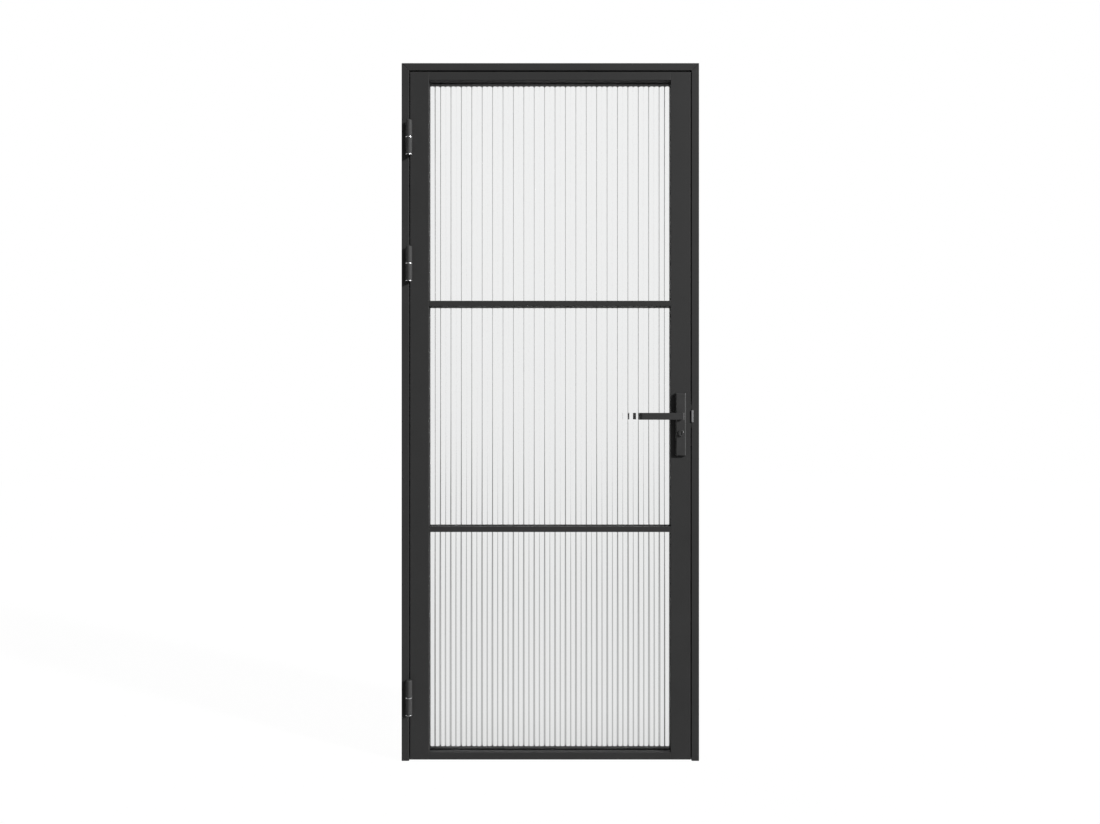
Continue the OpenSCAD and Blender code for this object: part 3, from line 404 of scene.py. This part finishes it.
def rounded_piece(node, width, shortest=0.0, slide=False):
    """A copy of a CAD node whose sharp outer edges are rounded, where they are longer than the shortest.

    On mitred profiles, the roundings slide along the slanted edges of the ends.
    """
    bm = welded_copy(node)
    sharp = [e for e in bm.edges if needs_rounding(e, shortest)]
    bmesh.ops.bevel(bm, geom=sharp, offset=width, offset_type="OFFSET", segments=ROUND_STEPS, profile=0.5,
                    affect="EDGES", material=-1, clamp_overlap=False, loop_slide=slide)
    bmesh.ops.remove_doubles(bm, verts=bm.verts, dist=WELD)
    bmesh.ops.dissolve_degenerate(bm, edges=bm.edges, dist=WELD)
    place_piece(bm, node)


def finish_node(node):
    """Gives a CAD node that keeps its own shape the finish of its slot."""
    materials = frame["nodes"][node].data.materials
    materials.clear()
    materials.append(finish(SLOT_OF[node]))


def fluted_pane(node, left, right):
    """A pane with round flutes on its front, in pairs that divide left to right, and a flat back."""
    values = bpy.context.scene.door_glass
    low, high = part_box(node)
    pair = (right - left) / values.pairs
    outer = pair / 4 + values.pair_shift
    inner = pair / 4 - values.pair_shift
    radius = (outer * outer + values.depth * values.depth) / (2 * values.depth)
    sweep = math.asin(outer / radius) + math.asin(inner / radius)
    first = left - pair
    bm = bmesh.new()
    valley = bmesh.ops.create_vert(bm, co=(first, low.y + values.depth, low.z))["vert"]
    for middle in (first + outer, first + pair - outer):
        arc = bmesh.ops.spin(bm, geom=valley, cent=(middle, low.y + radius, low.z), axis=(0, 0, 1),
                             angle=sweep, steps=values.arc_steps, use_merge=False, use_duplicate=False)
        valley = [v for v in arc["geom_last"] if isinstance(v, bmesh.types.BMVert)]
    flutes = bm.verts[:] + bm.edges[:]
    for i in range(1, values.pairs + 2):
        copy = bmesh.ops.duplicate(bm, geom=flutes)["geom"]
        moved = [v for v in copy if isinstance(v, bmesh.types.BMVert)]
        bmesh.ops.translate(bm, verts=moved, vec=(i * pair, 0, 0))
    bmesh.ops.remove_doubles(bm, verts=bm.verts, dist=WELD)
    for x, away in ((low.x, -1), (high.x, 1)):
        bmesh.ops.bisect_plane(bm, geom=bm.verts[:] + bm.edges[:], plane_co=(x, 0, 0), plane_no=(away, 0, 0),
                               clear_outer=True)
    ends = [v for v in bm.verts if len(v.link_edges) == 1]
    corners = bmesh.ops.extrude_vert_indiv(bm, verts=ends)["verts"]
    for corner in corners:
        corner.co.y = high.y
    bmesh.ops.contextual_create(bm, geom=corners)
    bmesh.ops.edgeloop_fill(bm, edges=bm.edges[:])
    top = bmesh.ops.extrude_face_region(bm, geom=bm.faces[:])["geom"]
    raised = [v for v in top if isinstance(v, bmesh.types.BMVert)]
    bmesh.ops.translate(bm, verts=raised, vec=(0, 0, high.z - low.z))
    bmesh.ops.recalc_face_normals(bm, faces=bm.faces)
    place_piece(bm, node)


def islands(bm):
    """The separate solids of a mesh, each as its vertices."""
    waiting = set(bm.verts)
    while waiting:
        found = set()
        walk = [waiting.pop()]
        while walk:
            vert = walk.pop()
            found.add(vert)
            for edge in vert.link_edges:
                other = edge.other_vert(vert)
                if other in waiting:
                    waiting.remove(other)
                    walk.append(other)
        yield found


def outline(verts):
    """The lowest and highest corner of some vertices."""
    low = Vector(min(v.co[i] for v in verts) for i in range(3))
    high = Vector(max(v.co[i] for v in verts) for i in range(3))
    return low, high


def loop_edges(verts):
    """The edges between the vertices of a ring."""
    inside = set(verts)
    return list({e for v in verts for e in v.link_edges if e.other_vert(v) in inside})


def pulled(bm, loop, vec, scale=1.0):
    """Extrudes a ring of edges, and returns the new ring."""
    made = bmesh.ops.extrude_edge_only(bm, edges=loop)["geom"]
    verts = [v for v in made if isinstance(v, bmesh.types.BMVert)]
    bmesh.ops.scale(bm, verts=verts, vec=(scale, scale, 1))
    bmesh.ops.translate(bm, verts=verts, vec=vec)
    return [e for e in made if isinstance(e, bmesh.types.BMEdge)]


def screw(bm, head, direction, head_r, length):
    """Adds a countersunk screw with a hexagon socket, from the middle of its head along direction."""
    values = bpy.context.scene.door_screws
    shape = bmesh.new()
    rim = loop_edges(bmesh.ops.create_circle(shape, segments=values.sides, radius=head_r)["verts"])
    socket_r = head_r * values.socket
    hexagon = loop_edges(bmesh.ops.create_circle(shape, segments=SOCKET_SIDES, radius=socket_r)["verts"])
    bmesh.ops.subdivide_edges(shape, edges=hexagon, cuts=values.sides // SOCKET_SIDES - 1)
    socket = [e for e in shape.edges if e not in set(rim)]
    bmesh.ops.bridge_loops(shape, edges=rim + socket)
    floor = pulled(shape, socket, (0, 0, -head_r * values.socket_depth))
    bmesh.ops.edgeloop_fill(shape, edges=floor)
    cone = head_r * (1 - values.shank)
    neck = pulled(shape, rim, (0, 0, -cone), values.shank)
    tip = pulled(shape, neck, (0, 0, cone - length))
    bmesh.ops.edgeloop_fill(shape, edges=tip)
    bmesh.ops.recalc_face_normals(shape, faces=shape.faces)
    turn = Vector((0, 0, -1)).rotation_difference(direction).to_matrix().to_4x4()
    bmesh.ops.transform(shape, matrix=Matrix.Translation(head) @ turn, verts=shape.verts)
    mesh = bpy.data.meshes.new("screw")
    shape.to_mesh(mesh)
    shape.free()
    bm.from_mesh(mesh)
    bpy.data.meshes.remove(mesh)


def screw_group(node, direction):
    """Screws with sockets in the places of a CAD node's plain ones."""
    plain = welded_copy(node)
    direction = Vector(direction)
    axis = max(range(3), key=lambda i: abs(direction[i]))
    bm = bmesh.new()
    for verts in islands(plain):
        low, high = outline(verts)
        head = (low + high) / 2
        head[axis] = low[axis] if direction[axis] > 0 else high[axis]
        across = max(high[i] - low[i] for i in range(3) if i != axis)
        screw(bm, head, direction, across / 2, high[axis] - low[axis])
    plain.free()
    place_piece(bm, node)


# Stage

def key_light(strength, angle, side):
    """Light from far off on one side."""
    light = bpy.data.lights.new("key_light", "SUN")
    light.energy = strength
    light.angle = angle
    lamp = bpy.data.objects.new("key_light", light)
    lamp.rotation_euler = (-Vector(side)).to_track_quat("-Z", "Y").to_euler()
    bpy.context.scene.collection.objects.link(lamp)


def back_lamp(power, size, place, target):
    """A round lamp behind the door, which the camera and the glass don't show."""
    light = bpy.data.lights.new("back_lamp", "AREA")
    light.energy = power
    light.shape = "DISK"
    light.size = size
    lamp = bpy.data.objects.new("back_lamp", light)
    lamp.location = place
    lamp.rotation_euler = (Vector(target) - Vector(place)).to_track_quat("-Z", "Y").to_euler()
    lamp.visible_camera = False
    lamp.visible_transmission = False
    bpy.context.scene.collection.objects.link(lamp)


def feed(tree, sockets, values):
    """Gives each socket its number or its link."""
    for socket, value in zip(sockets, values):
        if isinstance(value, (int, float)):
            socket.default_value = value
        else:
            link(tree, value, socket)


def math_node(tree, operation, first, second=0.0):
    node = tree.nodes.new("ShaderNodeMath")
    node.operation = operation
    feed(tree, node.inputs, (first, second))
    return node.outputs["Value"]


def product(tree, first, second):
    return math_node(tree, "MULTIPLY", first, second)


def ramp(tree, value, steps):
    """Runs smoothly from the first result to the last, between the first and the last place of value."""
    (low, high), (first, last) = steps
    node = tree.nodes.new("ShaderNodeMapRange")
    node.interpolation_type = "SMOOTHSTEP"
    for name, number in (("From Min", low), ("From Max", high), ("To Min", first), ("To Max", last)):
        node.inputs[name].default_value = number
    link(tree, value, node.inputs["Value"])
    return node.outputs["Result"]


def mixed(tree, factor, first, second):
    """first where factor is 0, second where it is 1."""
    node = tree.nodes.new("ShaderNodeMix")
    node.data_type = "FLOAT"
    feed(tree, (node.inputs["Factor"], node.inputs["A"], node.inputs["B"]), (factor, first, second))
    return node.outputs["Result"]


def glass_backdrop(tree, aside, height):
    """What the glass shows behind the door: a pale backdrop between two dark sides, with a painted shadow of
    the door on the floor low down.
    """
    widened = math_node(tree, "ADD", aside, ramp(tree, height, LOW_SIDES_WIDER))
    sides = product(tree, ramp(tree, widened, DARK_SIDES_BEGIN), ramp(tree, aside, DARK_SIDES_END))
    low_light = ramp(tree, height, LOW_SIDES_LIGHT)
    side_light = math_node(tree, "ADD", low_light, ramp(tree, height, HIGH_SIDES_LIGHT))
    light = product(tree, ramp(tree, height, BACKDROP_RISE), mixed(tree, sides, 1, side_light))
    # painted shadow of the door on the floor, darkening the backdrop low down
    return product(tree, light, ramp(tree, height, BACKDROP_PAINTED_FLOOR_SHADOW))


def studio_world(ambient):
    """Even light, with a white backdrop that the camera, the glass and the gloss see."""
    world = bpy.data.worlds.new("studio")
    world.use_nodes = True
    tree = world.node_tree
    path = tree.nodes.new("ShaderNodeLightPath")
    split = tree.nodes.new("ShaderNodeSeparateXYZ")
    link(tree, tree.nodes.new("ShaderNodeTexCoord").outputs["Generated"], split.inputs["Vector"])
    aside = math_node(tree, "ABSOLUTE", split.outputs["X"])
    room = ramp(tree, split.outputs["Y"], ROOM_FRONT_TO_BACK)
    light = mixed(tree, path.outputs["Is Glossy Ray"], ambient, room)
    backdrop = glass_backdrop(tree, aside, split.outputs["Z"])
    light = mixed(tree, path.outputs["Is Transmission Ray"], light, backdrop)
    light = mixed(tree, path.outputs["Is Camera Ray"], light, 1)
    back = tree.nodes["Background"]
    link(tree, light, back.inputs["Strength"])
    back.inputs["Color"].default_value = (1, 1, 1, 1)
    bpy.context.scene.world = world


def white_floor(size):
    """A pale floor that shows white to the camera and keeps a soft shadow."""
    material = bpy.data.materials.new("white_floor")
    material.use_nodes = True
    tree = material.node_tree
    surface = tree.nodes["Principled BSDF"]
    surface.inputs["Base Color"].default_value = (FLOOR_GREY, FLOOR_GREY, FLOOR_GREY, 1)
    surface.inputs["Roughness"].default_value = FLOOR_ROUGH
    surface.inputs["Specular IOR Level"].default_value = 0
    glow = tree.nodes.new("ShaderNodeEmission")
    glow.inputs["Strength"].default_value = FLOOR_WHITE
    path = tree.nodes.new("ShaderNodeLightPath")
    blend = tree.nodes.new("ShaderNodeMixShader")
    link(tree, product(tree, path.outputs["Is Camera Ray"], FLOOR_WHITE_SHARE), blend.inputs["Fac"])
    link(tree, surface.outputs["BSDF"], blend.inputs[1])
    link(tree, glow.outputs["Emission"], blend.inputs[2])
    link(tree, blend.outputs["Shader"], tree.nodes["Material Output"].inputs["Surface"])
    bm = bmesh.new()
    bmesh.ops.create_circle(bm, cap_ends=True, segments=FLOOR_SIDES, radius=size / 2)
    mesh = bpy.data.meshes.new("floor")
    bm.to_mesh(mesh)
    bm.free()
    mesh.materials.append(material)
    floor = bpy.data.objects.new("floor", mesh)
    floor.location.z = -FLOOR_DROP
    floor.visible_transmission = False
    floor.visible_glossy = False
    bpy.context.scene.collection.objects.link(floor)
    floor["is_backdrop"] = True


# Steps

class DOOR_OT_frame(Operator):
    """Rounds and coats the jambs and the head, and fits their seals"""
    bl_idname = "door.frame"
    bl_label = "Frame"

    def execute(self, context):
        for node in FRAME_PROFILES:
            rounded_piece(node, edges().frame_round, HOLE_EDGE, slide=True)
        for node in FRAME_SEALS:
            rounded_piece(node, edges().rubber_round)
        finish_node("corner_keys")
        return {"FINISHED"}


class DOOR_OT_leaf(Operator):
    """Rounds and coats the stiles, rails and glazing bars"""
    bl_idname = "door.leaf"
    bl_label = "Leaf"

    def execute(self, context):
        for node in LEAF_PROFILES:
            rounded_piece(node, edges().leaf_round, HOLE_EDGE)
        rounded_piece("bottom_seal", edges().rubber_round)
        for node in LEAF_FITTINGS:
            finish_node(node)
        return {"FINISHED"}


class DOOR_OT_glass(Operator):
    """Rolls the fluted panes"""
    bl_idname = "door.glass"
    bl_label = "Fluted glass"

    def execute(self, context):
        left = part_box("hinge_stile")[1].x
        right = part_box("lock_stile")[0].x
        for node in PANES:
            fluted_pane(node, left, right)
        return {"FINISHED"}


class DOOR_OT_glazing(Operator):
    """Fits gaskets and beads around the panes"""
    bl_idname = "door.glazing"
    bl_label = "Gaskets and beads"

    def execute(self, context):
        for node in GASKETS:
            rounded_piece(node, edges().rubber_round)
        for node in BEADS:
            rounded_piece(node, edges().bead_round, HOLE_EDGE)
        return {"FINISHED"}


class DOOR_OT_hinges(Operator):
    """Rounds and finishes the hinge halves, pins and washers"""
    bl_idname = "door.hinges"
    bl_label = "Hinges"

    def execute(self, context):
        for hinge in HINGES:
            rounded_piece(f"{hinge}_frame_half", edges().hinge_round)
            rounded_piece(f"{hinge}_leaf_half", edges().hinge_round)
            rounded_piece(f"{hinge}_pin", edges().steel_round)
            rounded_piece(f"{hinge}_washer", edges().steel_round)
        return {"FINISHED"}


class DOOR_OT_screws(Operator):
    """Turns the countersunk screws and bolts, with their sockets"""
    bl_idname = "door.screws"
    bl_label = "Screws"

    def execute(self, context):
        for node, direction in SCREWS.items():
            screw_group(node, direction)
        return {"FINISHED"}


class DOOR_OT_handles(Operator):
    """Rounds and finishes the plates, levers and turns"""
    bl_idname = "door.handles"
    bl_label = "Handles"

    def execute(self, context):
        for node in HANDLES:
            rounded_piece(node, edges().handle_round)
        return {"FINISHED"}


class DOOR_OT_lock(Operator):
    """Finishes the lock, its bolts and its strike"""
    bl_idname = "door.lock"
    bl_label = "Lock"

    def execute(self, context):
        for node in LOCK_FACES:
            rounded_piece(node, edges().steel_round)
        for node in LOCK_INSIDES:
            finish_node(node)
        return {"FINISHED"}


class DOOR_OT_stage(Operator):
    """Sets the camera, the lamps and the white floor"""
    bl_idname = "door.stage"
    bl_label = "Stage"

    def execute(self, context):
        scene = context.scene
        values = scene.door_stage
        middle = (CAD_BOX[0] + CAD_BOX[1]) / 2
        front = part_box("hinge_stile")[0].y
        camera = bpy.data.cameras.new("camera")
        camera.sensor_width = values.sensor
        camera.lens = values.sensor * values.distance / values.view_width
        view = bpy.data.objects.new("camera", camera)
        view.location = (values.camera_x, front - values.distance, middle.z)
        view.rotation_euler = (math.pi / 2, 0, 0)
        scene.collection.objects.link(view)
        scene.camera = view
        key_light(values.key_strength, values.key_angle, values.key_from)
        back_lamp(values.back_power, values.back_size, values.back_place, target=(0, 0, middle.z))
        studio_world(values.ambient)
        white_floor(values.floor_size)
        scene.view_settings.view_transform = "Standard"
        return {"FINISHED"}


HOLDERS = {
    "door_edges": DoorEdges,
    "door_glass": DoorGlass,
    "door_screws": DoorScrews,
    "door_finish": DoorFinish,
    "door_stage": DoorStage,
}
OPERATORS = (DOOR_OT_frame, DOOR_OT_leaf, DOOR_OT_glass, DOOR_OT_glazing, DOOR_OT_hinges, DOOR_OT_screws,
             DOOR_OT_handles, DOOR_OT_lock, DOOR_OT_stage)


class DOOR_PT_sidebar(Panel):
    """Lists the door's sizes, finishes and steps"""
    bl_idname = "DOOR_PT_sidebar"
    bl_label = "Fluted glass door"
    bl_space_type = "VIEW_3D"
    bl_region_type = "UI"
    bl_category = "Door"

    def draw(self, context):
        for holder, group in HOLDERS.items():
            box = self.layout.box()
            for name in group.__annotations__:
                box.prop(getattr(context.scene, holder), name)
        for operator in OPERATORS:
            self.layout.operator(operator.bl_idname)


CLASSES = tuple(HOLDERS.values()) + OPERATORS + (DOOR_PT_sidebar,)


def register():
    for kind in CLASSES:
        bpy.utils.register_class(kind)
    for holder, group in HOLDERS.items():
        setattr(bpy.types.Scene, holder, PointerProperty(type=group))


def unregister():
    for holder in HOLDERS:
        delattr(bpy.types.Scene, holder)
    for kind in reversed(CLASSES):
        bpy.utils.unregister_class(kind)


def main():
    register()
    bpy.ops.door.stage()
    bpy.ops.door.frame()
    bpy.ops.door.leaf()
    bpy.ops.door.glass()
    bpy.ops.door.glazing()
    bpy.ops.door.hinges()
    bpy.ops.door.screws()
    bpy.ops.door.handles()
    bpy.ops.door.lock()
    boxes = {"cad": CAD_BOX, "visual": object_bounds()}
    {name: [list(corner) for corner in box] for name, box in boxes.items()}


if __name__ == "__main__":
    main()
